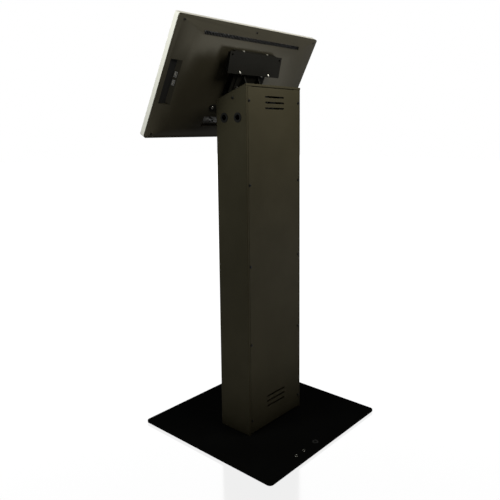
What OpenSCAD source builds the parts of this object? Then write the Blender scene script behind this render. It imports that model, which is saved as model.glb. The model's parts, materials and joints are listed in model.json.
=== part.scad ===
// Free-standing touchscreen kiosk: a 24 inch touch monitor on a tilting head, a sheet-steel
// column with a screwed rear cover, and a square steel base plate.
// Frame: +Z up, the screen faces -Y, the rear cover faces +Y. Origin: floor, centre of the base.

/* [Base] */
// Width of the base plate
base_w = 500; // [400:10:700]
// Depth of the base plate
base_d = 500; // [400:10:700]
// Thickness of the base plate
base_t = 6; // [5:1:12]
// Corner radius of the base plate
base_r = 12; // [4:1:40]
// Thickness of the rubber pads under the base plate
pad_t = 2; // [1:0.5:5]
// Diameter of a rubber pad
pad_d = 50; // [30:5:70]
// Diameter of the floor anchor holes
anchor_d = 7; // [5:0.5:10]
// Distance between the two floor anchor holes
anchor_pitch = 34; // [25:1:60]
// Place of the anchor pair, right of the centre line
anchor_x = 92; // [70:1:140]
// Distance of the anchor and lead holes from the rear edge
anchor_edge = 30; // [20:1:60]
// Diameter of the lead hole in the base plate
lead_hole_d = 14; // [10:1:20]
// Place of the lead hole, right of the centre line
lead_hole_x = 21; // [-40:1:40]

/* [Column] */
// Width of the column
col_w = 234; // [200:2:300]
// Depth of the column
col_d = 115; // [105:1:160]
// Height of the column's rear edge above the floor
col_h = 1004; // [850:2:1250]
// Fall of the column's top towards the front, in degrees
cap_slope = 19; // [12:1:25]
// Thickness of the folded sheet
sheet = 2; // [1.5:0.1:2.5]
// Radius of the folded corners
fold_r = 3; // [2.5:0.5:6]
// Width of the rear lip beside the cover
lip_w = 6; // [5:0.5:9]
// Width of the flange that the cover is screwed to
flange_w = 24; // [20:1:30]
// Gap around the rear cover
seam = 1; // [0.5:0.1:2]
// Height of the top cap's turned-down rear edge
cap_lip = 6; // [4:0.5:10]
// Distance of the cover screws from the column's side
cover_screw_in = 11; // [10:0.5:14]
// Distance of the last cover screws from the cover's ends
cover_screw_end = 37; // [20:1:60]
// Cover screws along one edge
cover_screw_count = 5; // [3:1:7]
// Length of a vent slot
vent_w = 81; // [50:1:120]
// Height of a vent slot
vent_h = 5; // [3:0.5:7]
// Distance from one vent slot to the next
vent_pitch = 15.5; // [10:0.5:20]
// Distance of the middle vent slots from the cover's ends
vent_end = 40; // [36:1:70]
// Diameter of the lead grommets' holes in the column's side
port_d = 22; // [16:1:28]
// Distance between the two side grommets
port_pitch = 51; // [40:1:60]
// Depth of the side grommets below the column's rear edge
port_drop = 89; // [75:1:150]

/* [Tilting head] */
// Backward lean of the screen from upright, as it stands, in degrees
lean = 28; // [15:1:45]
// Distance of the tilt pin from the column's rear edge, down the slope
pivot_back = 84; // [75:1:90]
// Height of the tilt pin above the column's cap
pivot_rise = 22; // [20:1:40]
// Distance of the tilt pin behind the monitor's rear rim
pivot_depth = 60; // [57:1:80]
// Height of the tilt pin above the monitor's centre
pivot_up = 12; // [0:1:25]
// Diameter of the tilt pins
pivot_d = 8; // [6:1:10]
// Radius of the rounded ears
ear_r = 15; // [13:0.5:18]
// Thickness of the ears
ear_t = 4; // [3:0.5:6]
// Distance between the yoke's ears
yoke_gap = 44; // [40:1:60]
// Width of the tray on the monitor's back
tray_w = 216; // [200:2:260]
// Depth of the tray's upper edge behind the monitor's rear rim
tray_n = 36; // [34:1:40]
// Top of the tray above the monitor's centre
tray_top = 108; // [104:1:116]
// Height of the tray's sloping face
tray_h = 60; // [56:1:66]
// Slope of that face against the monitor's back, in degrees
face_tilt = 14.5; // [10:0.5:18]
// Depth of the tray's side lips
tray_lip = 9; // [7:0.5:12]
// Width of the mounting plate on the monitor's back
plate_w = 124; // [120:2:128]
// Distance between the monitor's mounting holes
vesa = 100; // [75:25:100]

/* [Monitor] */
// Width of the monitor
mon_w = 568; // [540:2:640]
// Height of the monitor
mon_h = 345; // [330:1:400]
// Depth of the front frame
frame_n = 16; // [16:0.5:24]
// Corner radius of the front frame
frame_r = 6; // [4:0.5:12]
// Depth of the rear shell at its rim
rim_n = 4; // [3:0.5:6]
// Depth of the rear shell at its middle
crown_n = 16; // [14:0.5:20]
// Wall of the rear shell
shell_t = 2.5; // [2:0.1:3.5]
// Width of the screen's lit area
screen_w = 531.4; // [500:0.2:540]
// Height of the screen's lit area
screen_h = 298.9; // [290:0.1:310]
// Thickness of the touch glass
glass_t = 3; // [2:0.5:4]
// Thickness of the display panel
lcd_t = 7; // [6:0.5:8]
// Length of the upper vent slot in the rear shell
slot_w = 394; // [300:2:440]
// Height of the upper vent slot
slot_h = 10; // [6:0.5:14]
// Width of a push button on the lower edge
button_w = 10; // [7:0.5:12]
// Travel of a push button
button_travel = 0.8; // [0.5:0.1:1]

/* [Inside the column] */
// Width of the computer
pc_w = 150; // [120:2:170]
// Depth of the computer
pc_d = 46; // [35:1:55]
// Height of the computer
pc_h = 140; // [110:2:160]
// Height of the computer's shelf above the base plate
pc_z = 560; // [400:5:650]
// Length of the socket strip
strip_w = 180; // [150:2:190]
// Height of the socket strip above the base plate
strip_z = 170; // [120:5:250]
// Side of the square fan
fan_w = 60; // [50:10:60]
// Depth of the fan
fan_n = 15; // [15:1:20]

/* [Hidden] */

gap = 0.3;                 // clearance between pieces that are put in by hand
fit = 0.05;                // radial clearance of a pin in its bore
round_fn = 48;

top_of_base = pad_t + base_t;
half_w = col_w / 2;
half_d = col_d / 2;
half_bw = base_w / 2;
half_bd = base_d / 2;
slope_len = col_d / cos(cap_slope);

pad_in = 40;               // pad centre from the base plate's edges
m8_d = 8;
m8_head = 16;
m8_sink = 4;
m8_af = 13;
m8_nut = 6.5;
m6_d = 6;
m6_af = 10;
m6_head = 4;
m4_d = 4;
m4_af = 7;
m4_nut = 3.2;
button_head = 8;           // head of an M4 button-head screw
button_head_h = 2.2;
foot_t = 3;
foot_x = 85;
foot_y = 30;

cover_y = half_d - sheet;
flange_y = cover_y - sheet;
cover_half = half_w - lip_w - seam;
cover_low = top_of_base + 5;
cover_high = col_h - cap_lip - 2;
cover_screw_x = half_w - cover_screw_in;
cover_screw_z0 = cover_low + cover_screw_end;
cover_screw_step = (cover_high - cover_low - 2 * cover_screw_end) / (cover_screw_count - 1);
cover_rows = [for (i = [0 : cover_screw_count - 1]) cover_screw_z0 + i * cover_screw_step];

cap_tab_t = 2;
cap_tab_x = half_w - sheet - gap;
cap_tab_y = -0.485 * slope_len;
cap_tab_w = 28;
cap_tab_h = 26;
cap_screw_z = -17.8;
cap_slot_w = 80;
cap_slot_l = 26;
cap_slot_y = -33;
trim_t = 1.5;
yoke_base_w = 120;
yoke_base_l = 62;
yoke_bolt_x = 48;
yoke_bolt_y = 20;

pivot_y = half_d - pivot_back * cos(cap_slope) - pivot_rise * sin(cap_slope);
pivot_z = col_h - pivot_back * sin(cap_slope) + pivot_rise * cos(cap_slope);
mon_y = pivot_y - pivot_depth * cos(lean) - pivot_up * sin(lean);
mon_z = pivot_z + pivot_depth * sin(lean) - pivot_up * cos(lean);

washer_t = 1;
side_gap = 0.1;            // running gap beside a washer
ear_in = yoke_gap / 2 + ear_t + washer_t + 2 * side_gap;
ear_out = ear_in + ear_t;
disc_t = 1.2;
disc_count = 3;
bolt_seat = ear_out + side_gap + disc_count * disc_t;

bracket_t = 3;
bracket_w = 104;
bracket_low = -8;
bracket_high = 62;
bracket_bolt_x = 41;
bracket_bolt_v = [4, 50];
tray_t = 2;
tray_neck_w = 130;
tray_low = -12;
tray_flange_w = 170;
tray_hole_in = 9;
tray_hole_d = 6;
tray_screw_n = 27;
rail_screw_x = 60;
rail_screw_drop = 56;
rail_screw_l = 20;
stand_off_d = 9;
plate_t = 3;
plate_low = -78;
hook_v = tray_top - tray_t - gap;
vesa_v = 12;
corner_u = 88;
corner_v = -69;
corner_r = 9;

half_mw = mon_w / 2;
half_mh = mon_h / 2;
flat_u = half_mw - 94;
flat_v = half_mh - 47.5;
shell_screw_u = half_mw - 18;
shell_screw_v = half_mh - 12.5;
slot_v = half_mh - 34;
frame_wall = 6;
glass_rim = 2.8;
glass_back = -frame_n + glass_t;
lcd_back = glass_back + lcd_t;
lcd_margin = 9;
tray_plate_t = 1.2;
chassis_n = lcd_back + tray_plate_t;
chassis_w = mon_w - 2 * frame_wall - 4;
chassis_h = mon_h - 2 * frame_wall - 13;
board_n = chassis_n + 3.8;
board_t = 1.6;
board_w = 100;
board_h = 100;
board_u = 118;
board_v = -36;
side_bay_w = 26;
side_bay_h = 126;
side_bay_in = half_mw - 38;
side_port_v = [22, -1];
side_port_up = 6;
side_bay_v = -7;
side_bay_n = 0.5;
low_bay_w = 210;
low_bay_h = 32;
low_bay_v = 57.5 - half_mh;
low_bay_n = 0.5;
port_t = 1;
button_n = -6.5;
button_out = button_travel + 0.4;
button_flange = 1.5;
button_n_w = 5;
button_pitch = 18;
button_u0 = half_mw - 130;

fan_z = cover_high - vent_end;
fan_plate_t = 2;
fan_y = flange_y - fan_plate_t;
fan_bore = fan_w - 4;
fan_hub = 24;
shaft_r = 1.5;
strut_t = 2;
blade_count = 7;
wall_in = -half_d + sheet;
pc_lift = top_of_base + pc_z;
shelf_t = 2;
lid_t = 3;
pc_button_d = 10;
pc_button_in = 18;
pc_button_out = 1.5;
strip_lift = top_of_base + strip_z;
strip_h = 48;
strip_d = 38;
adapter_w = 130;
adapter_h = 56;
adapter_d = 34;
adapter_lift = top_of_base + 340;

// ---------- shared shapes ----------
module rounded_rect(w, d, r) {
  square([w - 2 * r, d], center = true);
  square([w, d - 2 * r], center = true);
  for (sx = [-1, 1], sy = [-1, 1])
    translate([sx * (w / 2 - r), sy * (d / 2 - r)]) circle(r = r, $fn = 40);
}

module ring(d_out, d_in, h) difference() {
  cylinder(d = d_out, h = h, $fn = round_fn);
  translate([0, 0, -1]) cylinder(d = d_in, h = h + 2, $fn = round_fn);
}

module hex(af, h) cylinder(d = af / cos(30), h = h, $fn = 6);

module nut(af, d, h) difference() {
  hex(af, h);
  translate([0, 0, -1]) cylinder(d = d + 2 * fit, h = h + 2, $fn = 32);
}

// Screw with its head above z = 0 and its shank below
module screw(d, shank, head, head_h) {
  translate([0, 0, -shank]) cylinder(d = d, h = shank + 0.1, $fn = 32);
  cylinder(d = head, h = head_h * 0.45, $fn = 40);
  translate([0, 0, head_h * 0.45]) cylinder(d1 = head, d2 = head * 0.62, h = head_h * 0.55, $fn = 40);
}

module hex_bolt(d, shank, af, head_h) {
  translate([0, 0, -shank]) cylinder(d = d, h = shank + 0.1, $fn = 32);
  hex(af, head_h);
}

// The cap's own frame: y = 0 at the rear edge, z = 0 on its upper face
module on_cap() translate([0, half_d, col_h]) rotate([cap_slope, 0, 0]) children();

// The monitor's own frame: x across, y away from the screen, z up the screen
module on_monitor() translate([0, mon_y, mon_z]) rotate([-lean, 0, 0]) children();

// Flat outline in the monitor's x and z, thickened from n0 to n1 behind the rear rim
module slab(n0, n1) translate([0, n1, 0]) rotate([90, 0, 0]) linear_extrude(height = n1 - n0) children();

// The tray's sloping face: x across, y away from the monitor, z up the face to its upper edge
module on_face() on_monitor() translate([0, tray_n, tray_top]) rotate([face_tilt, 0, 0]) children();

module at_rail_screws() on_face() for (s = [-1, 1])
  translate([s * rail_screw_x, 0, -rail_screw_drop]) rotate([-90, 0, 0]) children();

module at_back(u, n, v) translate([u, n, v]) rotate([-90, 0, 0]) children();

// ---------- base ----------
module base_plate() color([0.03, 0.03, 0.035]) difference() {
  translate([0, 0, pad_t]) linear_extrude(height = base_t) difference() {
    rounded_rect(base_w, base_d, base_r);
    for (s = [-1, 1]) translate([anchor_x + s * anchor_pitch / 2, half_bd - anchor_edge])
      circle(d = anchor_d, $fn = 32);
    translate([lead_hole_x, half_bd - anchor_edge]) circle(d = lead_hole_d, $fn = round_fn);
    for (sx = [-1, 1], sy = [-1, 1]) translate([sx * foot_x, sy * foot_y])
      circle(d = m8_d + 2 * gap, $fn = 32);
  }
  for (sx = [-1, 1], sy = [-1, 1]) translate([sx * foot_x, sy * foot_y, pad_t - 0.01])
    cylinder(d1 = m8_head + 2 * gap, d2 = m8_d + 2 * gap, h = m8_sink + gap, $fn = round_fn);
}

module floor_pads() color([0.12, 0.12, 0.12])
  for (sx = [-1, 1], sy = [-1, 1]) translate([sx * (half_bw - pad_in), sy * (half_bd - pad_in), 0])
    cylinder(d = pad_d, h = pad_t, $fn = round_fn);

module lead_grommet() color([0.35, 0.35, 0.36])
  translate([lead_hole_x, half_bd - anchor_edge, pad_t]) {
    ring(lead_hole_d - 2 * fit, lead_hole_d - 5, base_t + 1.2);
    translate([0, 0, base_t]) ring(lead_hole_d + 4, lead_hole_d - 5, 1.2);
  }

// ---------- column ----------
module column_profile() {
  difference() {
    rounded_rect(col_w, col_d, fold_r);
    square([col_w - 2 * sheet, col_d - 2 * sheet], center = true);
    translate([0, half_d]) square([2 * (half_w - lip_w), 3 * sheet], center = true);
  }
  for (s = [-1, 1]) translate([s * (half_w - sheet / 2 - flange_w / 2), flange_y + sheet / 2])
    square([flange_w - sheet, sheet], center = true);
}

module side_ports_cut() for (s = [-1, 1]) translate([0, s * port_pitch / 2, col_h - port_drop])
  rotate([0, 90, 0]) cylinder(d = port_d, h = col_w, $fn = round_fn);

module column_shell() color([0.045, 0.042, 0.04]) difference() {
  translate([0, 0, top_of_base]) linear_extrude(height = col_h - top_of_base) column_profile();
  on_cap() translate([-col_w, -2 * slope_len, -sheet]) cube([2 * col_w, 4 * slope_len, 400]);
  translate([-col_w, half_d - sheet - gap, col_h - cap_lip - gap]) cube([2 * col_w, 10, 50]);
  side_ports_cut();
  on_cap() translate([0, cap_tab_y, cap_screw_z]) rotate([0, 90, 0])
    cylinder(d = m4_d + 2 * gap, h = 2 * col_w, center = true, $fn = 32);
  for (z = cover_rows, s = [-1, 1]) translate([s * cover_screw_x, half_d, z]) rotate([90, 0, 0])
    cylinder(d = m4_d + 2 * gap, h = 3 * sheet, $fn = 32);
}

module foot_plate() color([0.05, 0.05, 0.05])
  translate([0, 0, top_of_base]) linear_extrude(height = foot_t) difference() {
    translate([0, (flange_y + wall_in) / 2])
      square([col_w - 2 * sheet - 2 * gap, flange_y - wall_in - 2 * gap], center = true);
    translate([0, -4]) square([90, 50], center = true);
    for (sx = [-1, 1], sy = [-1, 1]) translate([sx * foot_x, sy * foot_y])
      circle(d = m8_d + 2 * gap, $fn = 32);
    translate([0, foot_y + 6]) circle(d = m6_d + 2 * fit, $fn = 32);
  }

module foot_bolts() color([0.62, 0.6, 0.55])
  for (sx = [-1, 1], sy = [-1, 1]) translate([sx * foot_x, sy * foot_y, pad_t]) {
    cylinder(d1 = m8_head, d2 = m8_d, h = m8_sink, $fn = round_fn);
    cylinder(d = m8_d, h = base_t + foot_t + m8_nut + 4, $fn = 32);
  }

module foot_nuts() color([0.62, 0.6, 0.55])
  for (sx = [-1, 1], sy = [-1, 1]) translate([sx * foot_x, sy * foot_y, top_of_base + foot_t])
    nut(m8_af, m8_d, m8_nut);

module earth_stud() color([0.7, 0.62, 0.35]) translate([0, foot_y + 6, top_of_base]) {
  cylinder(d = m6_d, h = 24, $fn = 32);
  translate([0, 0, foot_t]) hex(m6_af, 5);
  translate([0, 0, foot_t + 9]) hex(m6_af, 4);
}

module vent_slots(z) for (i = [-1, 0, 1]) translate([0, half_d, z + i * vent_pitch]) {
  cube([vent_w - vent_h, 4 * sheet, vent_h], center = true);
  for (s = [-1, 1]) translate([s * (vent_w - vent_h) / 2, 0, 0]) rotate([90, 0, 0])
    cylinder(d = vent_h, h = 4 * sheet, center = true, $fn = 24);
}

module rear_cover() color([0.06, 0.052, 0.045]) difference() {
  translate([-cover_half, cover_y, cover_low])
    cube([2 * cover_half, sheet, cover_high - cover_low]);
  vent_slots(cover_high - vent_end);
  vent_slots(cover_low + vent_end + vent_pitch * 2);
  for (z = cover_rows, s = [-1, 1]) translate([s * cover_screw_x, half_d + 1, z]) rotate([90, 0, 0])
    cylinder(d = m4_d + 2 * gap, h = 3 * sheet, $fn = 32);
}

module at_cover_screws() for (z = cover_rows, s = [-1, 1])
  translate([s * cover_screw_x, half_d, z]) rotate([-90, 0, 0]) children();

module cover_screws() color([0.08, 0.08, 0.08]) at_cover_screws()
  screw(m4_d, 10, cover_screw_in - lip_w - seam + m4_d - 0.4, button_head_h);

module cover_nuts() color([0.6, 0.58, 0.5]) at_cover_screws()
  translate([0, 0, -2 * sheet - m4_nut]) nut(m4_af, m4_d, m4_nut);

module top_cap() color([0.05, 0.048, 0.045]) difference() {
  union() {
    intersection() {
      on_cap() translate([-half_w, -1.2 * slope_len, -sheet]) cube([col_w, 1.4 * slope_len, sheet]);
      translate([-half_w, -half_d, 0]) cube([col_w, col_d, 2 * col_h]);
    }
    translate([-half_w, half_d - sheet, col_h - cap_lip])
      cube([col_w, sheet, cap_lip - sheet * tan(cap_slope)]);
    for (s = [-1, 1]) on_cap()
      translate([s * (cap_tab_x - cap_tab_t / 2) - cap_tab_t / 2, cap_tab_y - cap_tab_w / 2, -cap_tab_h])
        cube([cap_tab_t, cap_tab_w, cap_tab_h - sheet / 2]);
  }
  on_cap() {
    translate([0, cap_slot_y, -10]) linear_extrude(height = 20)
      rounded_rect(cap_slot_w, cap_slot_l, 6);
    for (sx = [-1, 1], sy = [-1, 1])
      translate([sx * yoke_bolt_x, -pivot_back + sy * yoke_bolt_y, -10])
        cylinder(d = m6_d + 2 * gap, h = 20, $fn = 32);
    translate([0, cap_tab_y, cap_screw_z]) rotate([0, 90, 0])
      cylinder(d = m4_d + 2 * gap, h = 2 * col_w, center = true, $fn = 32);
  }
}

module cap_screws() color([0.08, 0.08, 0.08])
  for (s = [-1, 1]) on_cap() translate([s * half_w, cap_tab_y, cap_screw_z]) rotate([0, s * 90, 0])
    screw(m4_d, 11, button_head, button_head_h);

module cap_nuts() color([0.6, 0.58, 0.5])
  for (s = [-1, 1]) on_cap()
    translate([s * (cap_tab_x - cap_tab_t), cap_tab_y, cap_screw_z]) rotate([0, -s * 90, 0])
      nut(m4_af, m4_d, m4_nut);

module cap_slot_trim() color([0.1, 0.1, 0.1]) on_cap() {
  translate([0, cap_slot_y, -sheet - trim_t]) linear_extrude(height = sheet + 2 * trim_t) difference() {
    rounded_rect(cap_slot_w - 2 * fit, cap_slot_l - 2 * fit, 6);
    rounded_rect(cap_slot_w - 2 * trim_t, cap_slot_l - 2 * trim_t, 5);
  }
  for (z = [0, -sheet - trim_t]) translate([0, cap_slot_y, z]) linear_extrude(height = trim_t) difference() {
    rounded_rect(cap_slot_w + 2 * trim_t, cap_slot_l + 2 * trim_t, 7);
    rounded_rect(cap_slot_w - 2 * trim_t, cap_slot_l - 2 * trim_t, 5);
  }
}

module side_grommets() color([0.02, 0.02, 0.02])
  for (s = [-1, 1]) translate([half_w, s * port_pitch / 2, col_h - port_drop]) rotate([0, 90, 0]) {
    translate([0, 0, -sheet - 4]) ring(port_d - 2 * fit, port_d - 7, sheet + 5);
    ring(port_d + 5, port_d - 7, 1.6);
    translate([0, 0, -sheet - 2]) ring(port_d + 3, port_d - 7, 2);
  }

// ---------- tilting head ----------
module at_yoke_bolts() on_cap() for (sx = [-1, 1], sy = [-1, 1])
  translate([sx * yoke_bolt_x, -pivot_back + sy * yoke_bolt_y, 0]) children();

module at_pins() for (s = [-1, 1]) translate([0, pivot_y, pivot_z]) scale([s, 1, 1])
  rotate([0, 90, 0]) children();

module tilt_yoke() color([0.06, 0.06, 0.06]) difference() {
  union() {
    on_cap() translate([0, -pivot_back, 0]) linear_extrude(height = ear_t)
      rounded_rect(yoke_base_w, yoke_base_l, 8);
    for (s = [-1, 1]) on_cap() translate([s * (yoke_gap + ear_t) / 2 - ear_t / 2, -pivot_back, 0])
      rotate([90, 0, 90]) linear_extrude(height = ear_t) {
        polygon([[-26, 0], [26, 0], [ear_r, pivot_rise], [-ear_r, pivot_rise]]);
        translate([0, pivot_rise]) circle(r = ear_r, $fn = 64);
      }
  }
  at_pins() cylinder(r = pivot_d / 2 + fit, h = col_w, center = true, $fn = round_fn);
  at_yoke_bolts() translate([0, 0, -5]) cylinder(d = m6_d + 2 * gap, h = 20, $fn = 32);
}

module yoke_bolts() color([0.08, 0.08, 0.08]) at_yoke_bolts() translate([0, 0, ear_t])
  hex_bolt(m6_d, ear_t + sheet + 8, m6_af, m6_head);

module yoke_nuts() color([0.6, 0.58, 0.5]) at_yoke_bolts() translate([0, 0, -sheet - 5])
  nut(m6_af, m6_d, 5);

module pivot_bolts() color([0.75, 0.74, 0.7]) at_pins() translate([0, 0, bolt_seat])
  hex_bolt(pivot_d, bolt_seat - yoke_gap / 2 + 9, m8_af, 5.3);

module pivot_nuts() color([0.7, 0.69, 0.64]) at_pins() translate([0, 0, yoke_gap / 2 - 7.5])
  nut(m8_af, pivot_d, 7.5);

module disc_springs() color([0.7, 0.69, 0.66]) at_pins() for (i = [0 : disc_count - 1])
  translate([0, 0, ear_out + side_gap + i * disc_t]) difference() {
    cylinder(d1 = 18, d2 = 15.5, h = disc_t - 0.05, $fn = round_fn);
    translate([0, 0, -1]) cylinder(d = pivot_d + 2 * fit, h = 4, $fn = round_fn);
  }

module friction_washers() color([0.85, 0.84, 0.78]) at_pins()
  translate([0, 0, yoke_gap / 2 + ear_t + side_gap]) ring(22, pivot_d + 2 * fit, washer_t);

module tilt_bracket() color([0.06, 0.06, 0.06]) on_monitor() difference() {
  union() {
    slab(tray_n, tray_n + bracket_t) difference() {
      translate([-bracket_w / 2, bracket_low]) square([bracket_w, bracket_high - bracket_low]);
      for (s = [-1, 1]) translate([s * bracket_w / 2, bracket_high]) rotate(45)
        square(10, center = true);
    }
    for (s = [-1, 1]) translate([s * (ear_in + ear_t / 2) - ear_t / 2, 0, 0])
      rotate([90, 0, 90]) linear_extrude(height = ear_t) {
        polygon([[tray_n + 1, bracket_low], [pivot_depth, pivot_up - ear_r],
          [pivot_depth, pivot_up + ear_r], [tray_n + 1, bracket_high - 14]]);
        translate([pivot_depth, pivot_up]) circle(r = ear_r, $fn = 64);
      }
  }
  translate([0, pivot_depth, pivot_up]) rotate([0, 90, 0])
    cylinder(r = pivot_d / 2 + fit, h = col_w, center = true, $fn = round_fn);
  for (s = [-1, 1], v = bracket_bolt_v) at_back(s * bracket_bolt_x, tray_n - 5, v)
    cylinder(d = m6_d + 2 * gap, h = 20, $fn = 32);
}

module bracket_bolts() color([0.8, 0.79, 0.75]) on_monitor()
  for (s = [-1, 1], v = bracket_bolt_v) at_back(s * bracket_bolt_x, tray_n + bracket_t, v) {
    hex_bolt(m6_d, bracket_t + tray_t + 6, m6_af, m6_head);
    translate([0, 0, -bracket_t - tray_t - 4.5]) hex(m6_af, 4.5);
  }

// Side lip in the face's y and z, with a rounded lower end
module tray_side_lip() for (s = [-1, 1])
  translate([s * (tray_w - tray_t) / 2 - tray_t / 2, 0, 0]) rotate([90, 0, 90]) linear_extrude(height = tray_t) {
    translate([-tray_lip, -tray_h + tray_lip]) square([tray_lip - tray_t / 2, tray_h - tray_lip - 3]);
    translate([-tray_lip / 2, -tray_h + tray_lip]) circle(d = tray_lip, $fn = 40);
  }

module tray_neck() on_monitor() {
  slab(tray_n - tray_t, tray_n) translate([-tray_neck_w / 2, tray_low])
    square([tray_neck_w, tray_top - tray_low - 1]);
  translate([-tray_flange_w / 2, crown_n + plate_t + gap, tray_top - tray_t])
    cube([tray_flange_w, tray_n - crown_n - plate_t - gap - tray_t / 2, tray_t]);
  translate([-tray_neck_w / 2, crown_n + plate_t, tray_low])
    cube([tray_neck_w, tray_n - crown_n - plate_t - tray_t / 2, tray_t]);
}

// Welded stand-offs between the neck and the sloping face
module tray_stand_offs() intersection() {
  at_rail_screws() translate([0, 0, -2 * rail_screw_l]) cylinder(d = stand_off_d, h = 2 * rail_screw_l - 1, $fn = 40);
  on_monitor() translate([-tray_w, tray_n - tray_t / 2, -tray_w]) cube([2 * tray_w, 50, 2 * tray_w]);
}

module tray() color([0.055, 0.055, 0.05]) difference() {
  union() {
    tray_neck();
    on_face() {
      translate([-tray_w / 2, -tray_t, -tray_h]) cube([tray_w, tray_t, tray_h]);
      tray_side_lip();
    }
    tray_stand_offs();
  }
  at_rail_screws() translate([0, 0, -2 * rail_screw_l])
    cylinder(d = m4_d + 2 * fit, h = 3 * rail_screw_l, $fn = 32);
  on_face() for (s = [-1, 1]) translate([s * (tray_w / 2 - tray_hole_in), 5, -tray_hole_in])
    rotate([90, 0, 0]) cylinder(d = tray_hole_d, h = 10, $fn = 32);
  on_monitor() for (s = [-1, 1]) {
    translate([s * vesa / 2, tray_screw_n, tray_top - 5]) cylinder(d = m4_d + 2 * gap, h = 10, $fn = 32);
    for (v = bracket_bolt_v) at_back(s * bracket_bolt_x, tray_n - 5, v)
      cylinder(d = m6_d + 2 * gap, h = 10, $fn = 32);
  }
}

module tray_screws() color([0.85, 0.84, 0.8]) {
  on_monitor() for (s = [-1, 1])
    translate([s * vesa / 2, tray_screw_n, tray_top]) screw(m4_d, 9, button_head, button_head_h);
  at_rail_screws() screw(m4_d, rail_screw_l, button_head, button_head_h);
}

module vesa_plate() color([0.05, 0.05, 0.05]) on_monitor() difference() {
  union() {
    slab(crown_n, crown_n + plate_t)
      translate([-plate_w / 2, plate_low]) square([plate_w, hook_v - plate_low]);
    slab(crown_n, crown_n + plate_t) for (s = [-1, 1]) hull() {
      translate([s * corner_u, corner_v]) circle(r = corner_r, $fn = 40);
      translate([s * (plate_w / 2 - corner_r), corner_v]) circle(r = corner_r, $fn = 40);
    }
    translate([-plate_w / 2, crown_n, hook_v - tray_t])
      cube([plate_w, tray_n - tray_t - gap - crown_n, tray_t]);
  }
  for (su = [-1, 1], sv = [-1, 1]) at_back(su * vesa / 2, crown_n - 5, vesa_v + sv * vesa / 2)
    cylinder(d = m4_d + 2 * gap, h = 20, $fn = 32);
  for (s = [-1, 1]) {
    at_back(s * corner_u, crown_n - 5, corner_v) cylinder(d = m4_d + 2 * gap, h = 20, $fn = 32);
    translate([s * vesa / 2, tray_screw_n, hook_v - 10]) cylinder(d = m4_d + 2 * gap, h = 20, $fn = 32);
  }
}

module vesa_screws() color([0.75, 0.74, 0.7]) on_monitor()
  for (su = [-1, 1], sv = [-1, 1]) at_back(su * vesa / 2, crown_n + plate_t, vesa_v + sv * vesa / 2)
    screw(m4_d, 12, button_head, button_head_h);

module vesa_bosses() color([0.7, 0.6, 0.35]) on_monitor()
  for (su = [-1, 1], sv = [-1, 1]) at_back(su * vesa / 2, chassis_n, vesa_v + sv * vesa / 2)
    difference() {
      cylinder(d = 10, h = crown_n - chassis_n, $fn = 40);
      translate([0, 0, crown_n - chassis_n - 12]) cylinder(d = m4_d + 2 * fit, h = 20, $fn = 32);
    }

module corner_screws() color([0.7, 0.69, 0.66]) on_monitor()
  for (s = [-1, 1]) at_back(s * corner_u, crown_n + plate_t, corner_v)
    screw(m4_d, 8, button_head, button_head_h);

// ---------- monitor ----------
// Crowned form of the rear shell, from n = low up to its surface, smaller by inset
module shell_form(inset, low) intersection() {
  translate([0, 0, -half_mh]) linear_extrude(height = mon_h) polygon([
    [-half_mw + inset, low], [-half_mw + inset, rim_n - inset], [-flat_u, crown_n - inset],
    [flat_u, crown_n - inset], [half_mw - inset, rim_n - inset], [half_mw - inset, low]]);
  translate([-half_mw, 0, 0]) rotate([90, 0, 90]) linear_extrude(height = mon_w) polygon([
    [low, -half_mh + inset], [rim_n - inset, -half_mh + inset], [crown_n - inset, -flat_v],
    [crown_n - inset, flat_v], [rim_n - inset, half_mh - inset], [low, half_mh - inset]]);
}

// Side recess, whose inner wall slopes at 45 degrees and carries the sockets
module side_bay(extra, n0) translate([0, 0, side_bay_v - side_bay_h / 2 - extra])
  linear_extrude(height = side_bay_h + 2 * extra) polygon([
    [side_bay_in - extra, n0], [side_bay_in + side_bay_w + extra, n0],
    [side_bay_in + side_bay_w + extra, side_bay_n + 40], [side_bay_in - extra - 40, side_bay_n + 40],
    [side_bay_in - extra, side_bay_n]]);

module low_bay(extra, n0) translate([-low_bay_w / 2 - extra, n0, low_bay_v - low_bay_h / 2 - extra])
  cube([low_bay_w + 2 * extra, 40, low_bay_h + 2 * extra]);

function crown_at(u, v) = min(
  rim_n + (crown_n - rim_n) * (half_mw - abs(u)) / (half_mw - flat_u),
  rim_n + (crown_n - rim_n) * (half_mh - abs(v)) / (half_mh - flat_v), crown_n);

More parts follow.
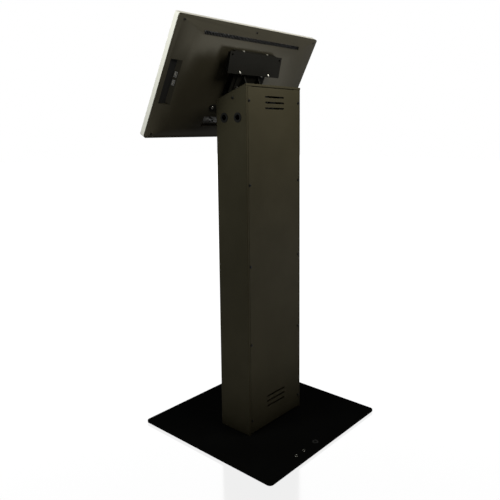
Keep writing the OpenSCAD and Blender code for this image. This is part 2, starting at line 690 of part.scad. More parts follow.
module rear_shell() color([0.075, 0.072, 0.068]) on_monitor() difference() {
  union() {
    difference() {
      shell_form(0, 0);
      shell_form(shell_t, -1);
      side_bay(0, -1);
      low_bay(0, -1);
    }
    intersection() {
      shell_form(0, -3);
      union() {
        difference() { side_bay(2, side_bay_n - 2); side_bay(0, side_bay_n); }
        difference() { low_bay(2, low_bay_n - 2); low_bay(0, low_bay_n); }
      }
    }
    for (s = [-1, 1]) at_back(s * corner_u, crown_n - 10, corner_v) cylinder(d = 9, h = 9, $fn = 40);
    for (u = [-shell_screw_u, 0, shell_screw_u], s = [-1, 1]) intersection() {
      shell_form(0, 0);
      at_back(u, 0, s * shell_screw_v) cylinder(d = 9, h = 20, $fn = 40);
    }
  }
  translate([-slot_w / 2, crown_n / 2, slot_v - slot_h / 2]) cube([slot_w, crown_n, slot_h]);
  for (u = [-shell_screw_u, 0, shell_screw_u], s = [-1, 1]) at_back(u, -2, s * shell_screw_v) {
    cylinder(d = 3.6, h = 30, $fn = 32);
    translate([0, 0, 2 + crown_at(u, shell_screw_v) - 2.4]) cylinder(d = 7, h = 30, $fn = 40);
  }
  for (su = [-1, 1], sv = [-1, 1]) at_back(su * vesa / 2, 0, vesa_v + sv * vesa / 2)
    cylinder(d = 10 + 2 * gap, h = 30, $fn = 40);
  for (s = [-1, 1]) at_back(s * corner_u, 0, corner_v) cylinder(d = m4_d + 2 * fit, h = 30, $fn = 32);
}

module shell_screws() color([0.1, 0.1, 0.1]) on_monitor()
  for (u = [-shell_screw_u, 0, shell_screw_u], s = [-1, 1])
    at_back(u, crown_at(u, shell_screw_v) - 2.4, s * shell_screw_v)
      screw(3, crown_at(u, shell_screw_v) + 2, 6, 1.8);

module frame_wall_holes() for (i = [0 : 4])
  translate([button_u0 + i * button_pitch, button_n, -half_mh])
    cube([button_w + 2 * gap, button_n_w + 2 * gap, 40], center = true);

module front_frame() color([0.78, 0.77, 0.72]) on_monitor() difference() {
  slab(-frame_n, 0) rounded_rect(mon_w, mon_h, frame_r);
  slab(-frame_n - 1, glass_back)
    rounded_rect(mon_w - 2 * glass_rim, mon_h - 2 * glass_rim, frame_r - glass_rim);
  slab(glass_back - 1, 1) square([mon_w - 2 * frame_wall, mon_h - 2 * frame_wall], center = true);
  frame_wall_holes();
  for (u = [-shell_screw_u, 0, shell_screw_u], s = [-1, 1]) at_back(u, -4, s * shell_screw_v)
    cylinder(d = 3 + 2 * fit, h = 10, $fn = 32);
}

module touch_glass() color([0.02, 0.02, 0.025]) on_monitor() slab(-frame_n, glass_back)
  rounded_rect(mon_w - 2 * glass_rim - 2 * gap, mon_h - 2 * glass_rim - 2 * gap, frame_r - glass_rim);

module lcd_panel() color([0.1, 0.1, 0.12]) on_monitor() slab(glass_back, lcd_back)
  square([screen_w + 2 * lcd_margin, screen_h + 2 * lcd_margin], center = true);

module board_posts(u, v) for (su = [-1, 1], sv = [-1, 1])
  at_back(u + su * (board_w / 2 - 5), chassis_n - 0.2, v + sv * (board_h / 2 - 5))
    cylinder(d = 6, h = board_n - chassis_n + 0.2, $fn = 24);

module panel_tray() color([0.66, 0.67, 0.68]) on_monitor() {
  slab(lcd_back, chassis_n) square([chassis_w, chassis_h], center = true);
  board_posts(board_u, board_v);
  board_posts(-board_u, board_v);
}

module board(u, v) slab(board_n, board_n + board_t)
  translate([u, v]) square([board_w, board_h], center = true);

module part_on_board(u, v, w, h, t) slab(board_n + board_t, board_n + board_t + t)
  translate([u, v]) square([w, h], center = true);

module main_board() color([0.05, 0.3, 0.14]) on_monitor() {
  board(board_u, board_v);
  part_on_board(board_u - 10, board_v + 12, 30, 30, 5);
  part_on_board(board_u + 28, board_v - 20, 16, 12, 3);
  part_on_board(board_u - 28, board_v - 28, 24, 8, 4);
}

module power_board() color([0.1, 0.22, 0.1]) on_monitor() {
  board(-board_u, board_v);
  part_on_board(-board_u, board_v + 18, 34, 26, 6);
  for (i = [-1, 0, 1]) at_back(-board_u + i * 22, board_n + board_t, board_v - 22)
    cylinder(d = 12, h = 6, $fn = 32);
}

module speakers() color([0.15, 0.15, 0.15]) on_monitor() for (s = [-1, 1])
  slab(chassis_n, chassis_n + 8) translate([s * (half_mw - 90), -half_mh + 38])
    rounded_rect(70, 24, 6);

module port_plate() color([0.72, 0.73, 0.72]) on_monitor() slab(low_bay_n, low_bay_n + port_t)
  translate([0, low_bay_v]) square([low_bay_w - 2 * gap, low_bay_h - 2 * gap], center = true);

module rear_ports() color([0.75, 0.75, 0.73]) on_monitor() {
  n0 = low_bay_n + port_t;
  for (p = [[-84, 32, 13, 9], [-52, 15, 8, 6], [-30, 16, 14, 11], [4, 14, 14, 8], [32, 14, 7, 8]])
    slab(n0, n0 + p[3]) translate([p[0], low_bay_v]) difference() {
      square([p[1], p[2]], center = true);
      square([p[1] - 3, p[2] - 3], center = true);
    }
  at_back(62, n0, low_bay_v) ring(13, 6, 10);
}

module side_ports() color([0.7, 0.7, 0.7]) on_monitor() for (v = side_port_v)
  translate([side_bay_in, side_bay_n, side_bay_v + v]) rotate([0, 0, 45])
    translate([0, side_port_up, 0]) rotate([90, 0, 90]) linear_extrude(height = 1.6) difference() {
      square([7, 15], center = true);
      square([4.5, 12.5], center = true);
    }

module push_button(i) color([0.12, 0.12, 0.12]) on_monitor()
  translate([button_u0 + i * button_pitch, button_n, -half_mh - button_out]) {
    translate([-button_w / 2, -button_n_w / 2, 0])
      cube([button_w, button_n_w, frame_wall + button_out + side_gap + button_flange]);
    translate([-button_w / 2 - button_flange, -button_n_w / 2, frame_wall + button_out + side_gap])
      cube([button_w + 2 * button_flange, button_n_w, button_flange]);
  }

module power_button() push_button(4);
module menu_button() push_button(3);
module down_button() push_button(2);
module up_button() push_button(1);
module select_button() push_button(0);

// ---------- inside the column ----------
module fan_bracket() color([0.5, 0.5, 0.5]) translate([0, fan_y, fan_z]) difference() {
  translate([-half_w + flange_w - 3, 0, -fan_w / 2 - 4])
    cube([col_w - 2 * flange_w + 6, fan_plate_t, fan_w + 8]);
  rotate([-90, 0, 0]) translate([0, 0, -1]) cylinder(d = fan_bore, h = 10, $fn = 64);
  for (sx = [-1, 1], sz = [-1, 1]) translate([sx * fan_w * 0.4, -1, sz * fan_w * 0.4])
    rotate([-90, 0, 0]) cylinder(d = 3 + 2 * gap, h = 10, $fn = 24);
}

module on_fan() translate([0, fan_y, fan_z]) rotate([90, 0, 0]) children();

module fan_outline() difference() {
  square(fan_w, center = true);
  circle(d = fan_bore, $fn = 64);
  for (sx = [-1, 1], sz = [-1, 1]) translate([sx * fan_w * 0.4, sz * fan_w * 0.4])
    circle(d = 3 + 2 * gap, $fn = 24);
}

module fan_struts() difference() {
  union() {
    circle(d = fan_hub, $fn = 48);
    for (a = [0, 120, 240]) rotate(a) translate([0, -2]) square([fan_bore / 2 + 0.5, 4]);
  }
  circle(r = shaft_r + fit, $fn = 24);
}

module fan_frame() color([0.05, 0.05, 0.05]) on_fan() {
  linear_extrude(height = fan_n - strut_t) fan_outline();
  translate([0, 0, fan_n - strut_t]) linear_extrude(height = strut_t) {
    fan_outline();
    fan_struts();
  }
}

module fan_rotor() color([0.09, 0.09, 0.09]) on_fan() {
  translate([0, 0, 2]) cylinder(d = fan_hub, h = fan_n - 5, $fn = 48);
  cylinder(r = shaft_r, h = fan_n - 0.5, $fn = 24);
  for (i = [0 : blade_count - 1]) rotate(i * 360 / blade_count)
    translate([fan_hub / 2 - 1, 0, fan_n / 2 - 0.5]) rotate([32, 0, 0])
      translate([0, -6, -0.7]) cube([fan_bore / 2 - fan_hub / 2 - 1, 12, 1.4]);
}

module fan_screws() color([0.65, 0.65, 0.6]) on_fan()
  for (sx = [-1, 1], sz = [-1, 1]) translate([sx * fan_w * 0.4, sz * fan_w * 0.4, fan_n])
    screw(3, fan_n + fan_plate_t, 5.6, 1.8);

module pc_shelf() color([0.4, 0.4, 0.42]) translate([0, wall_in, pc_lift]) {
  translate([-pc_w / 2 - 10, 0, 0]) cube([pc_w + 20, shelf_t, pc_h + 20]);
  translate([-pc_w / 2 - 10, 0, 0]) cube([pc_w + 20, pc_d + 12, shelf_t]);
  translate([-pc_w / 2 - 10, pc_d + 10, 0]) cube([pc_w + 20, shelf_t, 14]);
}

module pc_case() color([0.08, 0.08, 0.09])
  translate([-pc_w / 2, wall_in + shelf_t, pc_lift + shelf_t]) difference() {
    cube([pc_w, pc_d - lid_t, pc_h]);
    translate([2, 2, 2]) cube([pc_w - 4, pc_d, pc_h - 4]);
    for (i = [-3 : 3]) translate([pc_w / 2 + i * 12 - 2, 12, pc_h - 5]) cube([4, pc_d - 24, 10]);
  }

module pc_lid() color([0.12, 0.12, 0.13])
  translate([-pc_w / 2, wall_in + shelf_t + pc_d - lid_t, pc_lift + shelf_t]) difference() {
    cube([pc_w, lid_t, pc_h]);
    translate([pc_w - pc_button_in, -1, pc_h - pc_button_in]) rotate([-90, 0, 0])
      cylinder(d = pc_button_d + 2 * gap, h = 2 * lid_t, $fn = 40);
  }

module pc_button() color([0.6, 0.62, 0.64])
  translate([pc_w / 2 - pc_button_in, wall_in + shelf_t + pc_d + pc_button_out,
    pc_lift + shelf_t + pc_h - pc_button_in]) rotate([90, 0, 0]) {
      cylinder(d = pc_button_d, h = pc_button_out + lid_t + side_gap + 0.5, $fn = 40);
      translate([0, 0, pc_button_out + lid_t + side_gap]) cylinder(d = pc_button_d + 2, h = 1, $fn = 40);
    }

module socket_strip() color([0.75, 0.75, 0.74])
  translate([-strip_w / 2, wall_in, strip_lift]) difference() {
    cube([strip_w, strip_d, strip_h]);
    for (i = [0, 1, 2]) translate([24 + i * 44, strip_d - 10, strip_h / 2]) rotate([-90, 0, 0])
      cylinder(d = 36, h = 20, $fn = 48);
    translate([strip_w - 26, strip_d - 12, strip_h / 2 - 10]) cube([14, 20, 20]);
  }

module strip_switch() color([0.6, 0.05, 0.04])
  translate([-strip_w / 2 + strip_w - 19, wall_in + strip_d - 4, strip_lift + strip_h / 2])
    rotate([0, 90, 0]) intersection() {
      cylinder(r = 9.4, h = 13.4, center = true, $fn = 64);
      translate([0, 4, 0]) cube([30, 16, 20], center = true);
    }

module power_adapter() color([0.05, 0.05, 0.05])
  translate([-adapter_w / 2, wall_in, adapter_lift]) cube([adapter_w, adapter_d, adapter_h]);

module adapter_strap() color([0.2, 0.2, 0.2]) translate([0, wall_in, adapter_lift]) difference() {
  translate([-14, 0, -8]) cube([28, adapter_d + 1.5 + gap, adapter_h + 16]);
  translate([-20, -1, -gap]) cube([40, adapter_d + gap + 1, adapter_h + 2 * gap]);
  for (z = [-20, adapter_h + 1.5 + gap]) translate([-20, 1.5, z]) cube([40, 60, 18.5 - gap]);
}

base_plate();
floor_pads();
lead_grommet();
column_shell();
foot_plate();
foot_bolts();
foot_nuts();
earth_stud();
rear_cover();
cover_screws();
cover_nuts();
top_cap();
cap_screws();
cap_nuts();
cap_slot_trim();
side_grommets();
tilt_yoke();
yoke_bolts();
yoke_nuts();
pivot_bolts();
pivot_nuts();
disc_springs();
friction_washers();
tilt_bracket();
bracket_bolts();
tray();
tray_screws();
vesa_plate();
vesa_screws();
vesa_bosses();
corner_screws();
rear_shell();
shell_screws();
front_frame();
touch_glass();
lcd_panel();
panel_tray();
main_board();
power_board();
speakers();
port_plate();
rear_ports();
side_ports();
power_button();
menu_button();
down_button();
up_button();
select_button();
fan_bracket();
fan_frame();
fan_rotor();
fan_screws();
pc_shelf();
pc_case();
pc_lid();
pc_button();
socket_strip();
strip_switch();
power_adapter();
adapter_strap();
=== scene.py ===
# %% [markdown]
# # A touchscreen kiosk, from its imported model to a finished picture
# The kiosk is a square steel foot, a folded sheet-steel column with a screwed rear cover, and a
# touch monitor on a tilting head. The model already has every size, hole and joint, so this lesson
# never moves it. It adds what the eye looks for: rounded edges, real screw heads, ribs, rubber
# lips, and a finish for each material.

# %% Load the frame and keep its box
import bpy
import bmesh
import json
import math
from mathutils import Euler, Matrix, Quaternion, Vector

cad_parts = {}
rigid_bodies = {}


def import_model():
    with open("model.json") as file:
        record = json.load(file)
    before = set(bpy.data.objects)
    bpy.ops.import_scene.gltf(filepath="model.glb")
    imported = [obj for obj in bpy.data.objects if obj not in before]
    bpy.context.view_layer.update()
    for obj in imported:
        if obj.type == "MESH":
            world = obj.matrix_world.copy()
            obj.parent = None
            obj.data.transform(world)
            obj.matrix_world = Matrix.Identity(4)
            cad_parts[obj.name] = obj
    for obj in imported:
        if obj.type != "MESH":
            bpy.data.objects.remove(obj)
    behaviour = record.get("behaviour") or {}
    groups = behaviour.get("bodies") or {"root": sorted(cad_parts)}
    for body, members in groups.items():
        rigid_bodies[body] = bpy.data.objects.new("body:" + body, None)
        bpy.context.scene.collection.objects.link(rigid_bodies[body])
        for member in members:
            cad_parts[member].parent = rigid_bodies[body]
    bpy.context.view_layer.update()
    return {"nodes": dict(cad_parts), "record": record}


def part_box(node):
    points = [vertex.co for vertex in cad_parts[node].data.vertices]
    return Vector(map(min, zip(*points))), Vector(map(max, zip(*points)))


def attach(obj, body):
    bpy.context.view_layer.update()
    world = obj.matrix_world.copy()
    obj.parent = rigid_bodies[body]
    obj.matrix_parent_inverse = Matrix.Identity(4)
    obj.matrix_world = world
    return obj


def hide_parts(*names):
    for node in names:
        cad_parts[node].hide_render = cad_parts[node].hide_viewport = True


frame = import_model()
MM = 0.001

# %% [markdown]
# ## Camera
# A camera is a place, a direction and a lens. This one stands behind the kiosk on its +X side, a
# little under the height of the screen, and looks slightly down. The direction is built from a
# heading and a pitch, as a compass and a level would give them. The small shift slides the
# picture on the sensor, which keeps the column's edges nearly parallel.

# %% Camera behind the kiosk
CAMERA_PLACE = Vector((1.2231, 1.0939, 0.8835))
CAMERA_HEADING = 129.79
CAMERA_PITCH = -7.87
CAMERA_ROLL = -0.2
CAMERA_LENS = 40.49
CAMERA_SHIFT = (-0.0599, -0.0864)

bpy.ops.object.select_all(action="DESELECT")
bpy.ops.object.camera_add(location=CAMERA_PLACE)
camera = bpy.context.object
camera.name = "kiosk_camera"
aim = Euler((math.radians(90 + CAMERA_PITCH), 0, math.radians(CAMERA_HEADING))).to_quaternion()
camera.rotation_mode = "QUATERNION"
camera.rotation_quaternion = aim @ Quaternion((0, 0, 1), math.radians(CAMERA_ROLL))
camera.data.lens = CAMERA_LENS
camera.data.shift_x, camera.data.shift_y = CAMERA_SHIFT
bpy.context.scene.camera = camera
print("camera at", tuple(round(x, 3) for x in camera.location), "lens", camera.data.lens)

# %% [markdown]
# ## Small tools
# A script has no mouse, so picking is written down: everything is deselected first, then faces or
# edges are chosen by where they are or where they point. These few helpers keep the later cells
# short. `cut` takes one solid away from another, and `seat` puts a piece that was modelled at the
# origin into its place and writes that place into its mesh.

# %% Picking, cutting and seating
WELD = 0.01
SMOOTH_ANGLE = 30


def bare():
    """Leaves edit mode and deselects everything."""
    if bpy.context.object and bpy.context.object.mode != "OBJECT":
        bpy.ops.object.mode_set(mode="OBJECT")
    bpy.ops.object.select_all(action="DESELECT")


def take(obj):
    """Selects one object alone."""
    bare()
    obj.select_set(True)
    bpy.context.view_layer.objects.active = obj
    return obj


def edit(obj):
    """Enters edit mode on one object."""
    take(obj)
    bpy.ops.object.mode_set(mode="EDIT")


def choose(kind, test):
    """In edit mode, selects the faces, edges or verts that pass a test."""
    bpy.ops.mesh.select_mode(type={"faces": "FACE", "edges": "EDGE", "verts": "VERT"}[kind])
    bpy.ops.mesh.select_all(action="DESELECT")
    mesh = bpy.context.object.data
    shape = bmesh.from_edit_mesh(mesh)
    picked = [item for item in getattr(shape, kind) if test(item)]
    for item in picked:
        item.select_set(True)
    bmesh.update_edit_mesh(mesh)
    return len(picked)


def block(name, low, high):
    """A box between two corners in millimetres."""
    bare()
    low, high = Vector(low) * MM, Vector(high) * MM
    bpy.ops.mesh.primitive_cube_add(size=1, location=(low + high) / 2, scale=high - low)
    bpy.ops.object.transform_apply(location=True, rotation=True, scale=True)
    bpy.context.object.name = name
    return bpy.context.object


def rod(name, place, radius, depth, sides=48, turn=(0, 0, 0)):
    """A round or many-sided bar centred on a place, in millimetres."""
    bare()
    bpy.ops.mesh.primitive_cylinder_add(vertices=sides, radius=radius * MM, depth=depth * MM,
                                        location=Vector(place) * MM, rotation=turn)
    bpy.ops.object.transform_apply(location=True, rotation=True, scale=True)
    bpy.context.object.name = name
    return bpy.context.object


def cut(obj, cutter):
    """Takes the cutter away from obj."""
    take(obj)
    boolean = obj.modifiers.new("cut", "BOOLEAN")
    boolean.object, boolean.operation, boolean.solver = cutter, "DIFFERENCE", "EXACT"
    bpy.ops.object.modifier_apply(modifier=boolean.name)
    take(cutter)
    bpy.ops.object.delete()
    return take(obj)


def twin(obj, name):
    """A copy with its own mesh."""
    take(obj)
    bpy.ops.object.duplicate()
    bpy.context.object.name = name
    return bpy.context.object


def merge(objects, name):
    """Joins objects into one."""
    bare()
    for obj in objects:
        obj.select_set(True)
    bpy.context.view_layer.objects.active = objects[0]
    bpy.ops.object.join()
    bpy.context.object.name = name
    return bpy.context.object


def seat(obj, place):
    """Puts a piece in its place and writes the place into its mesh."""
    take(obj)
    obj.matrix_world = place
    bpy.ops.object.transform_apply(location=True, rotation=True, scale=True)
    return obj


def smooth(obj, angle=SMOOTH_ANGLE):
    """Shades a piece smooth, except across edges sharper than an angle."""
    take(obj)
    bpy.ops.object.shade_smooth_by_angle(angle=math.radians(angle))


def paint(obj, *skins):
    """Gives a piece its materials, the first one everywhere."""
    obj.data.materials.clear()
    for skin in skins:
        obj.data.materials.append(skin)


def blank_nodes(owner):
    """Empties the node tree of a material or a world."""
    owner.use_nodes = True
    owner.node_tree.nodes.clear()
    return owner.node_tree.nodes, owner.node_tree.links


def round_edges(obj, width, segments):
    """Rounds every sharp edge, then shades the result smooth."""
    take(obj)
    bevel = obj.modifiers.new("rounding", "BEVEL")
    bevel.width, bevel.segments = width * MM, segments
    bevel.limit_method, bevel.angle_limit = "ANGLE", math.radians(SMOOTH_ANGLE)
    bevel.use_clamp_overlap = False
    bpy.ops.object.modifier_apply(modifier=bevel.name)
    smooth(obj)
    even = obj.modifiers.new("even_shading", "WEIGHTED_NORMAL")
    even.keep_sharp = True
    bpy.ops.object.modifier_apply(modifier=even.name)


print("tools ready; points closer than", WELD, "mm count as one")

# %% [markdown]
# ## A working frame
# The monitor leans back, and its parts are easier to model lying straight at the origin. The
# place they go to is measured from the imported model: the front frame is symmetrical, so the
# middle of its box is a point on the monitor's own axis.

# %% The leaning monitor's frame
LEAN = 28
FRAME_DEPTH = 16

frame_low, frame_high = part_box("front_frame")
lean_back = Matrix.Rotation(math.radians(-LEAN), 4, "X")
rim_middle = (frame_low + frame_high) / 2 + lean_back @ Vector((0, FRAME_DEPTH / 2 * MM, 0))
HEAD = Matrix.Translation(rim_middle) @ lean_back
OUT_OF_BACK = (lean_back @ Vector((0, 1, 0))).normalized()
body_of = {node: body for body, held in frame["record"]["behaviour"]["bodies"].items()
           for node in held}
print("monitor's middle at", tuple(round(x, 4) for x in rim_middle))

# %% [markdown]
# ## Finishes
# Nothing real has one flat colour. Each finish mixes two close tones with broad noise, varies its
# roughness with finer noise, and lifts its surface by a few hundredths of a millimetre. Noise is
# read in Object coordinates, in metres, so a scale of 900 gives grains about a millimetre across.

# %% A finish from two tones
TONE_RANGE = (0.32, 0.68)
BROAD_DETAIL, FINE_DETAIL = 6, 3
BUMP_STRENGTH, COAT_ROUGHNESS = 0.6, 0.15


def finish(name, dark, light, rough, patch=9.0, grain=900.0, lift=0.02, metallic=0.0,
           specular=0.5, tint=(1, 1, 1), stretch=(1, 1, 1), coat=0.0):
    """A material whose colour, roughness and height all vary."""
    material = bpy.data.materials.new(name)
    material.use_nodes = True
    nodes, links = material.node_tree.nodes, material.node_tree.links
    shader = nodes["Principled BSDF"]
    shader.inputs["Metallic"].default_value = metallic
    shader.inputs["Specular IOR Level"].default_value = specular
    shader.inputs["Specular Tint"].default_value = (*tint, 1)
    shader.inputs["Coat Weight"].default_value = coat
    shader.inputs["Coat Roughness"].default_value = COAT_ROUGHNESS
    where = nodes.new("ShaderNodeTexCoord")
    spread = nodes.new("ShaderNodeMapping")
    spread.inputs["Scale"].default_value = stretch
    broad = nodes.new("ShaderNodeTexNoise")
    broad.inputs["Scale"].default_value = patch
    broad.inputs["Detail"].default_value = BROAD_DETAIL
    tones = nodes.new("ShaderNodeValToRGB")
    for stop, position, tone in zip(tones.color_ramp.elements, TONE_RANGE, (dark, light)):
        stop.position, stop.color = position, (*tone, 1)
    fine = nodes.new("ShaderNodeTexNoise")
    fine.inputs["Scale"].default_value = grain
    fine.inputs["Detail"].default_value = FINE_DETAIL
    gloss = nodes.new("ShaderNodeMapRange")
    gloss.inputs["To Min"].default_value, gloss.inputs["To Max"].default_value = rough
    bump = nodes.new("ShaderNodeBump")
    bump.inputs["Strength"].default_value = BUMP_STRENGTH
    bump.inputs["Distance"].default_value = lift * MM
    links.new(where.outputs["Object"], spread.inputs["Vector"])
    for noise in (broad, fine):
        links.new(spread.outputs["Vector"], noise.inputs["Vector"])
    links.new(broad.outputs["Fac"], tones.inputs["Fac"])
    links.new(tones.outputs["Color"], shader.inputs["Base Color"])
    links.new(fine.outputs["Fac"], gloss.inputs["Value"])
    links.new(gloss.outputs["Result"], shader.inputs["Roughness"])
    links.new(fine.outputs["Fac"], bump.inputs["Height"])
    links.new(bump.outputs["Normal"], shader.inputs["Normal"])
    return material


# %% The kiosk's finishes
finishes = {
    "base_coat": finish("black_plate_coat", (0.0038, 0.0038, 0.0037), (0.0052, 0.0052, 0.005),
                        (0.5, 0.62), specular=0.05, lift=0.03),
    "column_coat": finish("brown_black_powder", (0.037, 0.033, 0.019), (0.045, 0.040, 0.024),
                          (0.45, 0.55), specular=0.16, tint=(1.0, 0.92, 0.7), lift=0.02,
                          grain=1100),
    "head_coat": finish("black_powder", (0.0062, 0.006, 0.0048), (0.009, 0.0087, 0.007),
                        (0.5, 0.62), specular=0.1, lift=0.03, grain=1100),
    "shell_plastic": finish("moulded_black", (0.022, 0.0195, 0.0125), (0.028, 0.025, 0.016),
                            (0.26, 0.36), specular=0.55, tint=(1.0, 0.94, 0.74), lift=0.012,
                            grain=1600),
    "silver_frame": finish("silver_frame_paint", (0.80, 0.79, 0.73), (0.88, 0.87, 0.81),
                           (0.28, 0.4), grain=1400, lift=0.006, coat=0.2),
    "touch_glass": finish("printed_glass", (0.0035, 0.0035, 0.004), (0.005, 0.005, 0.0055),
                          (0.03, 0.09), patch=5, grain=60, lift=0.0005, coat=1.0),
    "lcd": finish("display_panel", (0.05, 0.05, 0.055), (0.07, 0.07, 0.075), (0.3, 0.4)),
    "black_screw": finish("black_oxide", (0.010, 0.010, 0.010), (0.018, 0.017, 0.016),
                          (0.25, 0.42), metallic=0.6, grain=500, lift=0.008),
    "zinc": finish("zinc_plate", (0.50, 0.49, 0.45), (0.66, 0.65, 0.60), (0.22, 0.42),
                   metallic=1.0, patch=60, grain=700, lift=0.008),
    "brass": finish("brass", (0.52, 0.38, 0.16), (0.66, 0.50, 0.24), (0.2, 0.36),
                    metallic=1.0, patch=40, grain=700, lift=0.006),
    "bare_steel": finish("brushed_steel", (0.45, 0.46, 0.46), (0.62, 0.62, 0.61), (0.25, 0.45),
                         metallic=1.0, patch=30, grain=900, lift=0.006, stretch=(0.06, 1, 1)),
    # Black rubber, also laid on the rear shell's recess floors as painted shade.
    "rubber_black": finish("black_rubber_and_painted_shade", (0.004, 0.004, 0.004), (0.007, 0.007, 0.0065),
                           (0.6, 0.8), specular=0.2, grain=1500, lift=0.02),
    "rubber_grey": finish("grey_rubber", (0.018, 0.018, 0.019), (0.028, 0.028, 0.028),
                          (0.55, 0.75), grain=1500, lift=0.02),
    "board": finish("circuit_board", (0.008, 0.07, 0.03), (0.02, 0.13, 0.06), (0.3, 0.5),
                    patch=420, grain=1200, lift=0.02),
    "black_plastic": finish("black_abs", (0.011, 0.011, 0.011), (0.017, 0.017, 0.017),
                            (0.35, 0.5), grain=1600, lift=0.015),
    "white_nylon": finish("white_nylon", (0.66, 0.64, 0.56), (0.76, 0.74, 0.66), (0.4, 0.55)),
    "grey_plastic": finish("grey_abs", (0.42, 0.43, 0.43), (0.5, 0.51, 0.5), (0.4, 0.52),
                           grain=1600, lift=0.012),
    "red_plastic": finish("red_rocker", (0.40, 0.012, 0.01), (0.52, 0.02, 0.015), (0.25, 0.38),
                          grain=1200, lift=0.006),
}
for subpart in frame["record"]["subparts"]:
    paint(frame["nodes"][subpart["node"]], finishes[subpart["material_slot"]])
slot_of = {subpart["node"]: subpart["material_slot"] for subpart in frame["record"]["subparts"]}
print("finishes:", len(finishes), " nodes painted:", len(slot_of))


def hand_in(obj, *nodes, slot=None):
    """Gives a finished piece the body of its first CAD node and hides those nodes; the slot
    argument is not used.
    """
    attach(obj, body_of[nodes[0]])
    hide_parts(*nodes)


# %% [markdown]
# ## Soft edges
# A drawing's edges are perfectly sharp, and nothing in a workshop is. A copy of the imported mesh
# has its loose triangles merged and its flat regions dissolved, and then a bevel of a few tenths
# of a millimetre runs round every corner. That bevel is what catches the light along a fold.

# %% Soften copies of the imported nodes
FLAT_ANGLE, BEVEL_STEPS = 1, 2


def soften(name, width):
    """A copy of a CAD node with rounded edges."""
    take(frame["nodes"][name])
    bpy.ops.object.duplicate()
    piece = bpy.context.object
    bpy.ops.object.parent_clear(type="CLEAR_KEEP_TRANSFORM")
    bpy.ops.object.transform_apply(location=True, rotation=True, scale=True)
    piece.name = name + "_soft"
    edit(piece)
    bpy.ops.mesh.select_all(action="SELECT")
    bpy.ops.mesh.remove_doubles(threshold=WELD * MM)
    bpy.ops.mesh.dissolve_limited(angle_limit=math.radians(FLAT_ANGLE))
    bare()
    round_edges(piece, width, BEVEL_STEPS)
    hand_in(piece, name)
    return piece


EDGE_WIDTHS = {
    "base_plate": 0.7, "floor_pads": 0.5, "lead_grommet": 0.5, "column_shell": 0.4,
    "foot_plate": 0.3, "foot_nuts": 0.3, "rear_cover": 0.4, "top_cap": 0.5, "cap_slot_trim": 0.4,
    "side_grommets": 0.6, "tilt_yoke": 0.5, "yoke_bolts": 0.4, "pivot_bolts": 0.4,
    "pivot_nuts": 0.4, "friction_washers": 0.2, "tilt_bracket": 0.5, "bracket_bolts": 0.4,
    "tray": 0.5, "vesa_plate": 0.4, "front_frame": 0.8, "port_plate": 0.2, "rear_ports": 0.2,
    "side_ports": 0.2, "power_button": 0.5, "menu_button": 0.5, "down_button": 0.5,
    "up_button": 0.5, "select_button": 0.5, "fan_frame": 0.3, "fan_rotor": 0.25,
    "pc_lid": 0.4, "pc_button": 0.4, "socket_strip": 0.8, "strip_switch": 0.4,
    "power_adapter": 1.5, "pc_shelf": 0.4,
}
for node_name, edge_width in EDGE_WIDTHS.items():
    made = soften(node_name, edge_width)
    print(made.name, len(made.data.polygons), "faces")

# %% [markdown]
# ## Screws
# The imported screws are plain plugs. Here each kind is modelled once with its head's top at the
# origin: a short cylinder whose top edge is bevelled into a dome, a socket cut by a six-sided
# bar or by two crossed blades, and a shank. Copies go to the middle of each packed screw.

# %% Model a screw
DOME_SHARE, DOME_STEPS = 0.62, 6
SOCKET_SHARE, CROSS_SHARE = 1.15, 0.55
BLADE_REACH, BLADE_WIDTH = 0.28, 0.065
SCREW_TWIST = 0.65


def screw(name, thread, head, head_height, length, socket):
    """A dome-headed screw, head up, with a socket or a cross recess."""
    top = rod(name, (0, 0, -head_height / 2), head / 2, head_height)
    edit(top)
    choose("edges", lambda edge: all(v.co.z > -WELD * MM for v in edge.verts))
    bpy.ops.mesh.bevel(offset=head_height * DOME_SHARE * MM, segments=DOME_STEPS, affect="EDGES")
    bare()
    if socket > 0:
        cut(top, rod("socket", (0, 0, 0), socket / math.sqrt(3), head_height * SOCKET_SHARE,
                     sides=6))
    else:
        reach, blade = head * BLADE_REACH, head * BLADE_WIDTH
        deep = -head_height * CROSS_SHARE
        cut(top, block("blade", (-reach, -blade, deep), (reach, blade, 1)))
        cut(top, block("blade", (-blade, -reach, deep), (blade, reach, 1)))
    shank = rod("shank", (0, 0, -(head_height + length) / 2), thread / 2, length - head_height)
    made = merge([top, shank], name)
    smooth(made)
    return made


def solids(node):
    """The separate solids of a CAD node, each as a list of points."""
    shape = bmesh.new()
    shape.from_mesh(frame["nodes"][node].data)
    bmesh.ops.remove_doubles(shape, verts=shape.verts, dist=WELD * MM)
    unseen, found = set(shape.verts), []
    while unseen:
        reached, waiting = [], [unseen.pop()]
        while waiting:
            here = waiting.pop()
            reached.append(here.co.copy())
            for edge in here.link_edges:
                there = edge.other_vert(here)
                if there in unseen:
                    unseen.remove(there)
                    waiting.append(there)
        found.append(reached)
    shape.free()
    return found


def set_screws(node, model, outward):
    """Copies a modelled screw onto every solid of a CAD node, paints the set, attaches it to its
    body and hides the node.
    """
    placed = []
    for number, points in enumerate(solids(node)):
        middle = Vector([(min(p[i] for p in points) + max(p[i] for p in points)) / 2
                         for i in range(3)])
        way = outward(middle).normalized()
        height = max(point.dot(way) for point in points) - middle.dot(way)
        one = twin(model, "screw")
        turn = way.to_track_quat("Z", "Y") @ Quaternion((0, 0, 1), SCREW_TWIST * number)
        placed.append(seat(one, Matrix.Translation(middle + way * height)
                           @ turn.to_matrix().to_4x4()))
    take(model)
    bpy.ops.object.delete()
    made = merge(placed, node + "_made")
    paint(made, finishes[slot_of[node]])
    hand_in(made, node)
    print(made.name, len(placed), "screws")


